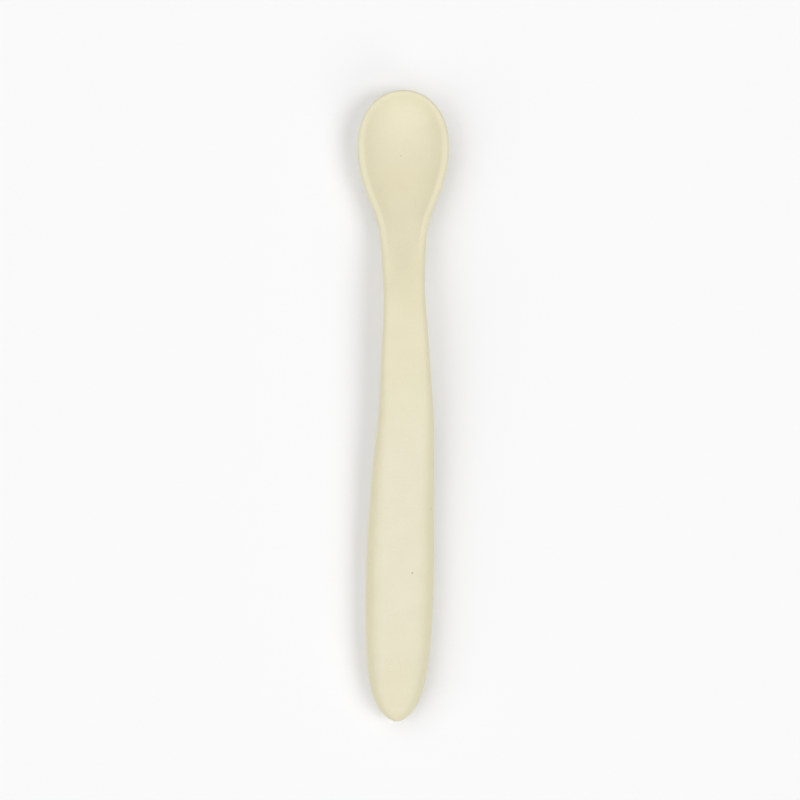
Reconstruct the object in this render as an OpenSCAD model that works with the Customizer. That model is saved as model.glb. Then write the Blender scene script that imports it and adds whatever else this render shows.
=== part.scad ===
// Long-handled baby spoon: a soft silicone body moulded over a stiff core.
//
// The spoon lies on its back as on a table. X is across it, Y runs from the end of the
// handle to the nose of the bowl, and Z is up. The origin is on the table, under the
// middle of the spoon's length and on the centre line of the bowl.
//
// "Place" is a distance along the spoon, measured from the end of the handle.

/* [Whole spoon] */
// Length from the end of the handle to the nose of the bowl
spoon_length = 170; // [150:1:190]
// Depth of the flats that the spoon rests on
rest_flat = 0.2; // [0.1:0.05:0.4]

/* [Bowl] */
// Width at the widest place of the bowl
bowl_width = 24.7; // [21:0.1:28]
// Distance from the nose back to the widest place
bowl_nose = 15.4; // [13:0.1:19]
// Depth of the hollow under the lip
bowl_depth = 6; // [5:0.1:7]
// Thickness of the silicone under the deepest place of the hollow
bowl_floor = 2; // [1.6:0.1:2.8]
// Width of the rounded lip beside the hollow
lip_width = 1.9; // [1.4:0.05:2.4]
// Width of the lip at the nose, where it is thinnest
nose_lip_width = 1.1; // [0.8:0.05:1.5]
// Height of the lip's rounding, from its widest line to its crest
lip_height = 1.3; // [0.9:0.05:1.7]
// How much lower the lip is at the nose
nose_drop = 0.4; // [0:0.05:1]

/* [Neck] */
// Width at the narrowest place of the neck
neck_width = 11.1; // [9:0.1:13]
// Thickness of the neck
neck_thickness = 5.2; // [4.4:0.1:6.5]
// Height of the neck's underside above the table
neck_rise = 6.3; // [5:0.1:7.5]
// Distance from the narrowest place of the neck to the widest place of the bowl
neck_to_bowl = 38.6; // [34:0.1:44]
// Width of the rounding along the neck's edges
neck_edge = 1.6; // [1.2:0.1:2.2]

/* [Handle] */
// Width at the widest place of the handle
handle_width = 18.2; // [15:0.1:21]
// Height of the handle's top above the table at its widest place
handle_height = 10; // [8.6:0.1:11.4]
// Width of the rounding along the handle's edges
handle_edge = 5.6; // [4:0.1:7]
// Distance from the end of the handle to its widest place
handle_end = 41; // [34:0.5:48]
// Distance from the end of the handle to where it touches the table
handle_rest = 24; // [18:0.5:28]
// How far the end of the handle lies to the side of the bowl's centre line
side_sway = 1.75; // [0:0.05:3]

/* [Core] */
// Silicone above and below the core in the handle
handle_cover = 2.4; // [1.8:0.1:3]
// Silicone above and below the core's tongue in the neck
neck_cover = 1.1; // [0.9:0.05:1.4]
// Silicone beside the core in the handle
side_cover = 2.4; // [1.8:0.1:3]
// Distance from the end of the handle to the core
core_start = 12; // [9:0.5:18]
// Distance from the tip of the core's tongue to the widest place of the bowl
core_setback = 27; // [25:0.5:32]
// Number of windows that the silicone fills
window_count = 6; // [3:1:7]
// Distance from each end of the core to the nearest window
window_margin = 8; // [6:0.5:12]
// Diameter of the holes left by the pins that hold the core in the mould
locator_d = 2.2; // [1.6:0.1:2.8]
// Depth of the seats that those pins sit in, in the core's underside
locator_seat = 0.8; // [0.4:0.1:1.2]

/* [Hidden] */

// Rings of points along each stretch of the silicone body, and points round each ring
handle_end_rings = 12;
handle_rings = 16;
neck_rings = 22;
nose_rings = 13;
ring_points = 48;
// The same for the core
core_rings = 32;
core_ring_points = 20;
// Each pass halves the error of the slopes at the points of a smooth curve
spline_passes = 18;
// Overrun of a cut past the solid that it cuts
overrun = 1;

// Roundness of the two ends seen from above: 2 is an ellipse, and more is squarer.
// The handle's end is squarer along its sides than at its very tip.
handle_side_power = 2.85;
handle_tip_power = 2.1;
handle_tip_sharpness = 9;
nose_power = 2.1;
// Roundness of the core's section and of its ends seen from the side
core_power = 3;
core_end_power = 5;
// Roundness of the hollow's floor across the bowl: 2 is a parabola, and more is flatter
hollow_power = 2.1;
// Roundness of the edges: 2 is a quarter circle, and more runs out more gently
edge_power = 2.5;
// Share of the hollow's depth over which the lip's inner edge is eased
lip_ease_share = 0.07;
// Part of the lip's width that its outer edge is rounded over
lip_edge_share = 0.5;
// Fullness of the underside: 0.5 is an ellipse, and 1 is a parabola
handle_fullness = 0.5;
bowl_fullness = 0.7;
// Part of the handle's rounding that is a crown right across it
handle_crown_share = 0.14;
neck_crown_share = 0.08;
// Parts of the handle's and the neck's thickness that are above the widest line
handle_shoulder_share = 0.485;
neck_shoulder_share = 0.46;
// Width of a window, of the core's width there, and length of a window, of their spacing
window_width_share = 0.42;
window_length_share = 0.68;

// The places that the shape is built on
bowl_place = spoon_length - bowl_nose;
neck_place = bowl_place - neck_to_bowl;
belly_place = handle_end;
neck_to_belly = neck_place - belly_place;
core_end = bowl_place - core_setback;
lip_crest = bowl_depth + bowl_floor;
neck_crest = neck_rise + neck_thickness;
handle_shoulder = handle_height * handle_shoulder_share;
neck_shoulder = neck_thickness * neck_shoulder_share;

// Each row is [share of the way along, share of the change], from one place to the next
handle_to_neck_width_shares = [[0, 0], [0.17, 0.09], [0.35, 0.23], [0.53, 0.445], [0.72, 0.685],
    [0.88, 0.885]];
neck_to_bowl_width_shares = [[0, 0], [0.14, 0.025], [0.28, 0.056], [0.42, 0.145], [0.56, 0.365],
    [0.7, 0.675], [0.84, 0.9], [1, 1]];
handle_to_neck_height_shares = [[0, 0], [0.12, 0.06], [0.32, 0.25], [0.6, 0.68], [0.78, 0.93], [0.9, 1]];
neck_to_bowl_height_shares = [[0, 0.15], [0.1, 0.37], [0.2, 0.58], [0.33, 0.79], [0.47, 0.92],
    [0.65, 0.985], [1, 1]];
neck_to_bowl_keel_shares = [[0, 0.12], [0.1, 0.215], [0.25, 0.35], [0.4, 0.475], [0.55, 0.62],
    [0.7, 0.77], [0.85, 0.905], [1, 1]];
handle_to_neck_edge_shares = [[0, 0], [0.3, 0.2], [0.6, 0.6], [0.85, 0.93], [1, 1]];
hollow_shares = [[-0.1, 0], [0.08, 0.04], [0.24, 0.11], [0.38, 0.225], [0.52, 0.385], [0.67, 0.595],
    [0.8, 0.765], [0.9, 0.88], [1, 0.97]];
// Depth of the hollow at the nose, as a share of its full depth
nose_hollow_share = 1.12;
// Sideways place of the centre line: each row is [share of the length, share of the sway]
sway_shares = [[0, -1], [0.12, -0.77], [0.24, -0.51], [0.31, -0.36], [0.37, -0.15], [0.43, 0.16],
    [0.5, 0.42], [0.57, 0.34], [0.64, 0.26], [0.7, 0.09], [0.76, 0]];

function between(low, high, share) = low + (high - low) * share;

// Rows of [place, value] from one named place and value to the next
function stretch(place_a, value_a, place_b, value_b, shares) =
    [for (row = shares) [between(place_a, place_b, row[0]), between(value_a, value_b, row[1])]];

// A smooth curve through rows of [place, value]. Its slopes make the curvature run on
// unbroken from row to row, and they are found by letting each slope settle to its neighbours.
function pitch(rows, i) = rows[i + 1][0] - rows[i][0];
function grade(rows, i) = (rows[i + 1][1] - rows[i][1]) / pitch(rows, i);
function settled_slope(rows, slopes, i) =
    i == 0 || i == len(rows) - 1 ? 0 :
    let (before = 1 / pitch(rows, i - 1), after = 1 / pitch(rows, i))
    (3 * (grade(rows, i - 1) * before + grade(rows, i) * after)
        - slopes[i - 1] * before - slopes[i + 1] * after) / (2 * (before + after));
function settle(rows, slopes, passes) =
    passes == 0 ? slopes :
    settle(rows, [for (i = [0 : len(rows) - 1]) settled_slope(rows, slopes, i)], passes - 1);
function curve(rows) = [rows, settle(rows, [for (row = rows) 0], spline_passes)];

function row_at(rows, place, i) =
    i >= len(rows) - 2 || place <= rows[i + 1][0] ? i : row_at(rows, place, i + 1);
function on_curve(curve, place) =
    let (rows = curve[0], last = len(rows) - 1)
    place <= rows[0][0] ? rows[0][1] :
    place >= rows[last][0] ? rows[last][1] :
    let (i = row_at(rows, place, 0), step = pitch(rows, i), t = (place - rows[i][0]) / step,
        ease = t * t * (3 - 2 * t))
    between(rows[i][1], rows[i + 1][1], ease)
        + step * t * (1 - t) * (curve[1][i] * (1 - t) - curve[1][i + 1] * t);

// Half the width of the outline, without its rounded ends
half_width_curve = curve(concat(
    stretch(belly_place, handle_width / 2, neck_place, neck_width / 2, handle_to_neck_width_shares),
    stretch(neck_place, neck_width / 2, bowl_place, bowl_width / 2, neck_to_bowl_width_shares)));
// Sideways place of the centre line
sway_curve = curve([for (row = sway_shares) [row[0] * spoon_length, row[1] * side_sway]]);
// Height of the underside along the middle, before the ends are rounded off. Where the handle
// rests it is lower, so that the rounded end still reaches the table.
handle_rest_keel = between(handle_height - handle_shoulder, -rest_flat,
    pow(1 - pow(end_share(handle_rest), 2), -handle_fullness));
keel_curve = curve(concat(
    [[0, 0]],
    stretch(handle_rest, handle_rest_keel, neck_place, neck_rise, handle_to_neck_height_shares),
    stretch(neck_place, neck_rise, bowl_place, -rest_flat, neck_to_bowl_keel_shares),
    [[spoon_length, nose_drop]]));
// Height of the crest: the lip of the bowl, and the top of the handle
crest_curve = curve(concat(
    [[0, handle_height - nose_drop]],
    stretch(belly_place, handle_height, neck_place, neck_crest, handle_to_neck_height_shares),
    stretch(neck_place, neck_crest, bowl_place, lip_crest, neck_to_bowl_height_shares),
    [[spoon_length, lip_crest - nose_drop]]));
// Height of the crest above the widest line of the section
shoulder_curve = curve(concat(
    stretch(belly_place, handle_shoulder, neck_place, neck_shoulder, handle_to_neck_height_shares),
    stretch(neck_place, neck_shoulder, bowl_place, lip_height, neck_to_bowl_height_shares)));
// Width of the rounding beside the widest line
edge_curve = curve(concat(
    stretch(belly_place, handle_edge, neck_place, neck_edge, handle_to_neck_edge_shares),
    [[bowl_place, lip_width * lip_edge_share], [spoon_length, nose_lip_width * lip_edge_share]]));
// Width of the lip, from the outline to the inner edge that the hollow falls from
lip_curve = curve([[bowl_place, lip_width], [spoon_length, nose_lip_width]]);
// Part of the crest that is a crown right across the section
crown_curve = curve([[belly_place, handle_crown_share], [neck_place, neck_crown_share], [bowl_place, 0]]);
// Depth of the hollow along the middle
hollow_curve = curve(concat(
    stretch(neck_place, 0, bowl_place, bowl_depth, hollow_shares),
    [[spoon_length, bowl_depth * nose_hollow_share]]));
// Fullness of the underside
fullness_curve = curve([[neck_place, handle_fullness], [bowl_place, bowl_fullness]]);

// How far into a rounded end a place is: 0 where the end begins, and 1 at its tip
function end_share(place) =
    place < belly_place ? (belly_place - place) / handle_end :
    place > bowl_place ? (place - bowl_place) / bowl_nose : 0;
function end_length(place) = place < belly_place ? handle_end : bowl_nose;
function end_power(place) =
    place > belly_place ? nose_power
        : between(handle_side_power, handle_tip_power, pow(end_share(place), handle_tip_sharpness));

// The outline's half width at a place
function outline(place) =
    on_curve(half_width_curve, place)
        * pow(max(0, 1 - pow(end_share(place), end_power(place))), 1 / end_power(place));

// Where a point lies between the middle, 0, and the outline, 1. Side is -1 to 1 across the place.
function spread(place, side) =
    let (power = end_power(place), end = pow(end_share(place), power))
    pow(pow(abs(side), power) * (1 - end) + end, 1 / power);

// How much the spread grows for each millimetre straight towards the outline
function steepness(place, side) =
    let (power = end_power(place), end = end_share(place), spread = spread(place, side),
        across = abs(side) * pow(1 - pow(end, power), 1 / power),
        half_width = on_curve(half_width_curve, place))
    spread == 0 ? 1 / half_width
        : norm([pow(across, power - 1) / half_width, pow(end, power - 1) / end_length(place)])
            * pow(spread, 1 - power);

// Share of the edge's rounding that is reached at a point: 0 at the outline, and 1 inside the edge
function rounding(place, side) =
    let (inset = (1 - spread(place, side)) / steepness(place, side),
        left = max(0, 1 - inset / on_curve(edge_curve, place)))
    sqrt(1 - pow(left, edge_power));

// Share of the hollow's depth at a point, eased to nothing over the lip
function hollow(place, side) =
    let (across = spread(place, side) / (1 - on_curve(lip_curve, place) * steepness(place, side)),
        fall = 1 - pow(across, hollow_power))
    (fall + sqrt(fall * fall + lip_ease_share * lip_ease_share)) / 2;

function widest_height(place) = on_curve(crest_curve, place) - on_curve(shoulder_curve, place);

function top_height(place, side) =
    let (crown = on_curve(crown_curve, place), spread = spread(place, side),
        shoulder = on_curve(shoulder_curve, place),
        dip = on_curve(hollow_curve, place) * hollow(place, side))
    widest_height(place) + crown * shoulder * (1 - spread * spread)
        + rounding(place, side) * ((1 - crown) * shoulder - dip);

function bottom_height(place, side) =
    let (spread = min(1, spread(place, side)))
    between(widest_height(place), on_curve(keel_curve, place),
        pow(1 - spread * spread, on_curve(fullness_curve, place)));

// The point on the spoon's centre line at a place and a height
function on_centre_line(place, height) = [on_curve(sway_curve, place), place - spoon_length / 2, height];

// Point of one ring of the body: over the top from right to left, and back underneath
function body_point(place, angle) =
    let (side = cos(angle), widest = sin(angle) == 0)
    on_centre_line(place,
        widest ? widest_height(place) : angle < 180 ? top_height(place, side) : bottom_height(place, side))
        + [outline(place) * side, 0, 0];

body_places = concat(
    [for (i = [handle_end_rings - 1 : -1 : 1]) belly_place - handle_end * sin(90 * i / handle_end_rings)],
    [for (i = [0 : handle_rings - 1]) between(belly_place, neck_place, i / handle_rings)],
    [for (i = [0 : neck_rings - 1]) between(neck_place, bowl_place, i / neck_rings)],
    [for (i = [0 : nose_rings - 1]) bowl_place + bowl_nose * sin(90 * i / nose_rings)]);

// How far into one of the core's rounded ends a place is: 0 where the end begins, and 1 at its tip
function core_end_share(place) =
    let (near = min(place - core_start, core_end - place))
    min(1, max(0, 1 - near / (on_curve(half_width_curve, place) - side_cover)));
function core_half_width(place) =
    (on_curve(half_width_curve, place) - side_cover) * sqrt(1 - pow(core_end_share(place), 2));
function core_cover(place) =
    between(handle_cover, neck_cover, min(1, max(0, (place - belly_place) / neck_to_belly)));
function core_half_height(place) =
    ((top_height(place, 0) - on_curve(keel_curve, place)) / 2 - core_cover(place))
        * pow(1 - pow(core_end_share(place), core_end_power), 1 / core_end_power);
function core_middle_height(place) = (top_height(place, 0) + on_curve(keel_curve, place)) / 2;
function core_underside(place) = core_middle_height(place) - core_half_height(place);
function core_middle(place) = on_centre_line(place, core_middle_height(place));

function signed_power(value, power) = sign(value) * pow(abs(value), power);
function core_point(place, angle) =
    core_middle(place) + [core_half_width(place) * signed_power(cos(angle), 2 / core_power), 0,
        core_half_height(place) * signed_power(sin(angle), 2 / core_power)];

core_places = [for (i = [1 : core_rings])
    between(core_start, core_end, (1 - cos(180 * i / (core_rings + 1))) / 2)];

// The windows are spaced evenly between the margins. One pin sits in a gap a third of the way
// along them, and the other sits in the last gap.
first_window = core_start + window_margin;
window_pitch = (core_end - core_start - 2 * window_margin) / window_count;
locator_places = [for (gap = [floor(window_count / 3), window_count - 1]) first_window + gap * window_pitch];
cut_height = neck_crest + 2 * overrun;

// A closed skin over rings of points, from one tip point to the other
module skin(rings, first_tip, last_tip) {
    count = len(rings[0]);
    last = len(rings) - 1;
    first_index = count * len(rings);
    polyhedron(
        points = concat([for (ring = rings) each ring], [first_tip, last_tip]),
        faces = concat(
            [for (j = [0 : count - 1]) [first_index, (j + 1) % count, j]],
            [for (i = [0 : last - 1]) for (j = [0 : count - 1])
                let (a = i * count + j, b = i * count + (j + 1) % count)
                each [[a, b, a + count], [b, b + count, a + count]]],
            [for (j = [0 : count - 1]) [first_index + 1, last * count + j, last * count + (j + 1) % count]]),
        convexity = 6);
}

module body_blank() {
    skin([for (place = body_places) [for (j = [0 : ring_points - 1])
            body_point(place, 360 * j / ring_points)]],
        body_point(0, 0), body_point(spoon_length, 0));
}

module core_blank() {
    skin([for (place = core_places) [for (j = [0 : core_ring_points - 1])
            core_point(place, 360 * j / core_ring_points)]],
        core_middle(core_start), core_middle(core_end));
}

// A window is a slot with round ends, right through the core
module window(place) {
    width = 2 * core_half_width(place) * window_width_share;
    run = window_pitch * window_length_share - width;
    translate(on_centre_line(place, -overrun)) {
        translate([-width / 2, -run / 2, 0]) cube([width, run, cut_height]);
        for (end = [-1, 1]) translate([0, end * run / 2, 0]) cylinder(d = width, h = cut_height, $fn = 48);
    }
}

// The core with its windows, which is also the space that it takes up in the silicone
module windowed_core() {
    difference() {
        core_blank();
        for (i = [0 : window_count - 1]) window(first_window + (i + 0.5) * window_pitch);
    }
}

// A round hole from under the spoon into the core, at each place where a pin held it
module locator_holes() {
    for (place = locator_places)
        translate(on_centre_line(place, -overrun))
            cylinder(d = locator_d, h = overrun + core_underside(place) + locator_seat, $fn = 48);
}

module silicone_body() {
    color("#e9e3ca") difference() {
        body_blank();
        translate([-spoon_length / 2, -spoon_length, -spoon_length])
            cube([spoon_length, 2 * spoon_length, spoon_length]);
        windowed_core();
        locator_holes();
    }
}

module stiffening_core() {
    color("#dcdad2") difference() {
        windowed_core();
        locator_holes();
    }
}

silicone_body();
stiffening_core();
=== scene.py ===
"""A baby spoon of soft silicone moulded over a stiff core, lying on its back in a plain white studio.

The spoon's surfaces are worked out from its sizes. "Place" is a distance along the spoon from the end of
the handle, and "side" runs from -1 to 1 across the outline at a place. X is across the spoon, Y runs along
it to the nose of the bowl, and Z is up. All lengths are in metres.
"""

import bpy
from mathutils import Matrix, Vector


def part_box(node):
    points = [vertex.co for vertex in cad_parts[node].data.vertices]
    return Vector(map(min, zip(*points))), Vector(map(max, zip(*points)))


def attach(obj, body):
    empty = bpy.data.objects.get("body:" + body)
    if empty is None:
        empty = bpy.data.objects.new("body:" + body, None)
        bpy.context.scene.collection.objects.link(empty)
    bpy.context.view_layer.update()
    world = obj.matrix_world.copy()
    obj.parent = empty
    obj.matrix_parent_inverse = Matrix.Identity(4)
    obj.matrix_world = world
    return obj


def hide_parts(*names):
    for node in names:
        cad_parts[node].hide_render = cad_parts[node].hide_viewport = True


bl_info = {
    "name": "Baby Spoon",
    "version": (1, 0, 0),
    "blender": (4, 5, 0),
    "location": "3D View > Sidebar > Spoon",
    "description": "Builds the spoon's silicone body and core, and the studio round them",
    "category": "Add Mesh",
}

import bpy
import numpy as np

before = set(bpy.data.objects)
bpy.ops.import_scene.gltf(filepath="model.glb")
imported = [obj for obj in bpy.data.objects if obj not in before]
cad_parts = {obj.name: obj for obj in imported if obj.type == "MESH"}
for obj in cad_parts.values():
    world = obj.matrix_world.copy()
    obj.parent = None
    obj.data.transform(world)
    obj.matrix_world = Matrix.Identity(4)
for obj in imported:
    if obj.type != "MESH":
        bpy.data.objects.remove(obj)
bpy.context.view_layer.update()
body_low, body_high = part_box("silicone_body")

# Each row is [share of the way along, share of the change]. The first table of a pair runs from the handle
# to the neck, and the second on to the bowl
WIDTH_SHARES = ([[0, 0], [0.17, 0.09], [0.35, 0.23], [0.53, 0.445], [0.72, 0.685], [0.88, 0.885]],
                [[0, 0], [0.14, 0.025], [0.28, 0.056], [0.42, 0.145], [0.56, 0.365], [0.7, 0.675],
                 [0.84, 0.9], [1, 1]])
HEIGHT_SHARES = ([[0, 0], [0.12, 0.06], [0.32, 0.25], [0.6, 0.68], [0.78, 0.93], [0.9, 1]],
                 [[0, 0.15], [0.1, 0.37], [0.2, 0.58], [0.33, 0.79], [0.47, 0.92], [0.65, 0.985], [1, 1]])
KEEL_SHARES = (HEIGHT_SHARES[0], [[0, 0.12], [0.1, 0.215], [0.25, 0.35], [0.4, 0.475], [0.55, 0.62],
                                  [0.7, 0.77], [0.85, 0.905], [1, 1]])
# The same for the edge's width from the handle to the neck, and for the hollow from the neck to the bowl
EDGE_SHARES = [[0, 0], [0.3, 0.2], [0.6, 0.6], [0.85, 0.93], [1, 1]]
HOLLOW_SHARES = [[-0.1, 0], [0.08, 0.04], [0.24, 0.11], [0.38, 0.225], [0.52, 0.385], [0.67, 0.595],
                 [0.8, 0.765], [0.9, 0.88], [1, 0.97]]
# Each row is [share of the length, share of the sway]
SWAY_SHARES = [[0, -1], [0.12, -0.77], [0.24, -0.51], [0.31, -0.36], [0.37, -0.15], [0.43, 0.16],
               [0.5, 0.42], [0.57, 0.34], [0.64, 0.26], [0.7, 0.09], [0.76, 0]]
# Depth of the hollow at the nose, as a share of its full depth
NOSE_HOLLOW_SHARE = 1.12
# Share of the hollow's depth over which the lip's inner edge is eased
LIP_EASE_SHARE = 0.07
# Part of the lip's width that its outer edge is rounded over
LIP_EDGE_SHARE = 0.5
# Parts of the rounding that are a crown right across the handle, and right across the neck
HANDLE_CROWN_SHARE = 0.14
NECK_CROWN_SHARE = 0.08
# Parts of the handle's and the neck's thickness that are above the widest line
HANDLE_SHOULDER_SHARE = 0.485
NECK_SHOULDER_SHARE = 0.46
# How far the colour warms along the middle, where the silicone is thinner, with painted shade over the bowl,
# and how far painted shade darkens the handle's tip: [share of the length, how far]
THIN_WARMTH_AND_SHADE_SHARES = [[0.03, 0.42], [0.08, 0.35], [0.13, 0.15], [0.18, 0], [0.42, 0], [0.5, 0.4], [0.58, 0.6],
               [0.63, 0.66], [0.68, 0.86], [0.74, 0.76], [0.79, 0.58], [0.87, 0.62], [0.91, 0.25],
               [1, 0.25]]
# How far it warms over the bowl's lip
LIP_WARMTH = 0.65
# How far painted shade darkens the colour along the outline at the handle, the neck and the bowl, and in the
# hollow
EDGE_PAINTED_SHADE = (0.62, 0.5, 0.2)
HOLLOW_PAINTED_SHADE = 0.85
# Shares of the edge's width in from the outline where those changes begin to fade, and have gone
EDGE_FADE = (0.1, 0.85)
# Width of a window in the core, of the core's width, and its length, of the windows' spacing
WINDOW_WIDTH_SHARE = 0.42
WINDOW_LENGTH_SHARE = 0.68
# Shares of the way from a block of the grid to its opening at which a loop of points lies
OPENING_SHARES = (0.25, 0.5, 0.75, 1)
# Angles round the rounded edge of an opening at which a loop of points lies, in degrees
ROUNDING_TURNS = (22.5, 45, 67.5, 90)
# Room that a block of columns leaves round a pin hole, of the hole's own reach
PIN_BLOCK_SHARE = 1.3
# Angle between two faces, in degrees, over which their edge stays crisp
CRISP_ANGLE = 35
# The least width or spread that anything is divided by
LEAST = 1e-9

# Limits of the noise textures between which the grain and the patches run from none to all
GRAIN_LIMITS = (0.3, 0.7)
PATCH_LIMITS = (0.32, 0.68)
# Parts that the grain and the patches have in the mottling
GRAIN_MOTTLE, PATCH_MOTTLE = 0.7, 0.3
# Parts that the grain and the coarser pits have in the height, and the pits' scale, of the grain's
GRAIN_HEIGHT, PIT_HEIGHT, PIT_SCALE = 0.6, 0.4, 0.4
# How far the roughness follows the grain, either way
ROUGHNESS_SWING = 0.05
# Least and greatest reach of a speck's uneven edge, and where its darkness begins to fade, of its size
SPECK_REACH = (0.75, 1.25)
SPECK_FADE = 0.35
# The specks in the silicone: where each one is, across and along the spoon, its size, and how dark it is
SPECKS = [((-0.00065, 0.0675), 0.00028, 0.30), ((0.00237, -0.0448), 0.00032, 0.62),
          ((0.00729, -0.0276), 0.0003, 0.34), ((0.00016, -0.058), 0.00026, 0.07)]
# Steps between nodes in the node editor: to the right, down, and nodes before it starts at the top again
NODE_STEPS = (190, -40, 5)
# Each softbox: the angle it is turned round the spoon from its right, its angle above the table, and the
# angle that it fills
SOFTBOXES = {"left": (205, 39, 60), "right": (348, 53, 32), "front": (303, 28, 30), "top": (133, 59, 66)}
# How far the camera sees
CAMERA_REACH = 100


def between(low, high, share):
    """The value a share of the way from low to high."""
    return low + (high - low) * share


def eased_step(value, low, high):
    """0 up to the low value and 1 from the high one, with a smooth step between them."""
    share = np.clip((value - low) / (high - low), 0, 1)
    return share * share * (3 - 2 * share)


def stretch(place_a, value_a, place_b, value_b, shares):
    """Rows of [place, value] from one place and value to the next, by a table of shares."""
    return [[between(place_a, place_b, along), between(value_a, value_b, change)]
            for along, change in shares]


def smooth_curve(rows):
    """A function of place through rows of [place, value], level at both ends.

    Each slope is chosen so that the curvature runs on unbroken from row to row, and between two rows the
    value is the cubic that has the rows' values and slopes.
    """
    places, values = np.array(rows, float).T
    step = np.diff(places)
    grade = np.diff(values) / step
    pull = 1 / step
    inner = np.arange(1, len(places) - 1)
    balance, right = np.eye(len(places)), np.zeros(len(places))
    balance[inner, inner - 1] = pull[:-1]
    balance[inner, inner] = 2 * (pull[:-1] + pull[1:])
    balance[inner, inner + 1] = pull[1:]
    right[inner] = 3 * (grade[:-1] * pull[:-1] + grade[1:] * pull[1:])
    slopes = np.linalg.solve(balance, right)

    def value_at(place):
        place = np.clip(place, places[0], places[-1])
        row = np.clip(np.searchsorted(places, place) - 1, 0, len(step) - 1)
        share = (place - places[row]) / step[row]
        ease = share * share * (3 - 2 * share)
        turn = slopes[row] * (1 - share) - slopes[row + 1] * share
        return between(values[row], values[row + 1], ease) + step[row] * share * (1 - share) * turn

    return value_at


class SpoonShape:
    """The spoon's outline and heights, as functions of place and side, worked out from its sizes."""

    def __init__(self, sizes):
        self.sizes = sizes
        self.length = sizes.spoon_length
        self.bowl_place = sizes.spoon_length - sizes.bowl_nose
        self.neck_place = self.bowl_place - sizes.neck_to_bowl
        self.belly_place = sizes.handle_end
        lip_crest = sizes.bowl_depth + sizes.bowl_floor
        neck_crest = sizes.neck_rise + sizes.neck_thickness
        neck_shoulder = sizes.neck_thickness * NECK_SHOULDER_SHARE
        rest_share = (sizes.handle_end - sizes.handle_rest) / sizes.handle_end
        # Where the handle rests its keel is lower, so that the rounded end still reaches the table
        handle_shoulder = sizes.handle_height * HANDLE_SHOULDER_SHARE
        rest_keel = between(sizes.handle_height - handle_shoulder, -sizes.rest_flat,
                            (1 - rest_share ** 2) ** -sizes.handle_fullness)
        belly, neck, bowl, length = self.belly_place, self.neck_place, self.bowl_place, self.length

        def joined(shares, in_handle, in_neck, in_bowl, start=belly):
            """Rows from the handle to the neck and on to the bowl, by a pair of tables."""
            return (stretch(start, in_handle, neck, in_neck, shares[0])
                    + stretch(neck, in_neck, bowl, in_bowl, shares[1]))

        self.half_width = smooth_curve(
            joined(WIDTH_SHARES, sizes.handle_width / 2, sizes.neck_width / 2, sizes.bowl_width / 2))
        self.sway = smooth_curve([[along * length, aside * sizes.side_sway] for along, aside in SWAY_SHARES])
        self.keel = smooth_curve(
            [[0, 0]] + joined(KEEL_SHARES, rest_keel, sizes.neck_rise, -sizes.rest_flat, sizes.handle_rest)
            + [[length, sizes.nose_drop]])
        self.crest = smooth_curve(
            [[0, sizes.handle_height - sizes.nose_drop]]
            + joined(HEIGHT_SHARES, sizes.handle_height, neck_crest, lip_crest)
            + [[length, lip_crest - sizes.nose_drop]])
        self.shoulder = smooth_curve(joined(HEIGHT_SHARES, handle_shoulder, neck_shoulder, sizes.lip_height))
        self.edge = smooth_curve(
            stretch(belly, sizes.handle_edge, neck, sizes.neck_edge, EDGE_SHARES)
            + [[bowl, sizes.lip_width * LIP_EDGE_SHARE], [length, sizes.nose_lip_width * LIP_EDGE_SHARE]])
        self.lip = smooth_curve([[bowl, sizes.lip_width], [length, sizes.nose_lip_width]])
        self.crown = smooth_curve([[belly, HANDLE_CROWN_SHARE], [neck, NECK_CROWN_SHARE], [bowl, 0]])
        self.hollow_depth = smooth_curve(
            stretch(neck, 0, bowl, sizes.bowl_depth, HOLLOW_SHARES)
            + [[length, sizes.bowl_depth * NOSE_HOLLOW_SHARE]])
        # Painted shade: the next curves darken the colour over the bowl, at the handle's tip and along the
        # outline
        self.thin = smooth_curve([[along * length, change] for along, change in THIN_WARMTH_AND_SHADE_SHARES])
        self.edge_painted_shade = smooth_curve(list(zip((belly, neck, bowl), EDGE_PAINTED_SHADE)))
        self.fullness = smooth_curve([[neck, sizes.handle_fullness], [bowl, sizes.bowl_fullness]])

    def end_share(self, place):
        """How far into a rounded end a place is: 0 where the end begins, and 1 at its tip."""
        in_handle = (self.belly_place - place) / self.sizes.handle_end
        in_nose = (place - self.bowl_place) / self.sizes.bowl_nose
        return np.clip(np.maximum(in_handle, in_nose), 0, 1)

    def end_power(self, place):
        """Roundness of the end's outline: 2 is an ellipse, and more is squarer. The handle's sides are
        squarer than its very tip."""
        sizes = self.sizes
        handle = between(sizes.handle_side_power, sizes.handle_tip_power,
                         self.end_share(place) ** sizes.handle_tip_sharpness)
        return np.where(place > self.belly_place, sizes.nose_power, handle)

    def outline(self, place):
        """Half the outline's width: the body's own half width, times the end's superellipse."""
        power = self.end_power(place)
        return self.half_width(place) * (1 - self.end_share(place) ** power) ** (1 / power)

    def spread(self, place, side):
        """Where a point lies between the middle, 0, and the outline, 1: the superellipse's own radius."""
        power = self.end_power(place)
        end = self.end_share(place) ** power
        return np.minimum(1, (np.abs(side) ** power * (1 - end) + end) ** (1 / power))

    def steepness(self, place, side):
        """How much the spread grows for each metre straight towards the outline: its gradient."""
        power, end, spread = self.end_power(place), self.end_share(place), self.spread(place, side)
        run = np.where(place > self.belly_place, self.sizes.bowl_nose, self.sizes.handle_end)
        across = np.abs(side) * (1 - end ** power) ** (1 / power)
        grade = np.hypot(across ** (power - 1) / self.half_width(place), end ** (power - 1) / run)
        slope = grade * np.maximum(spread, LEAST) ** (1 - power)
        return np.where(spread < LEAST, 1 / self.half_width(place), slope)

    def inset(self, place, side):
        """How far in from the outline a point is, as a share of the edge's width."""
        return (1 - self.spread(place, side)) / self.steepness(place, side) / self.edge(place)

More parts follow.
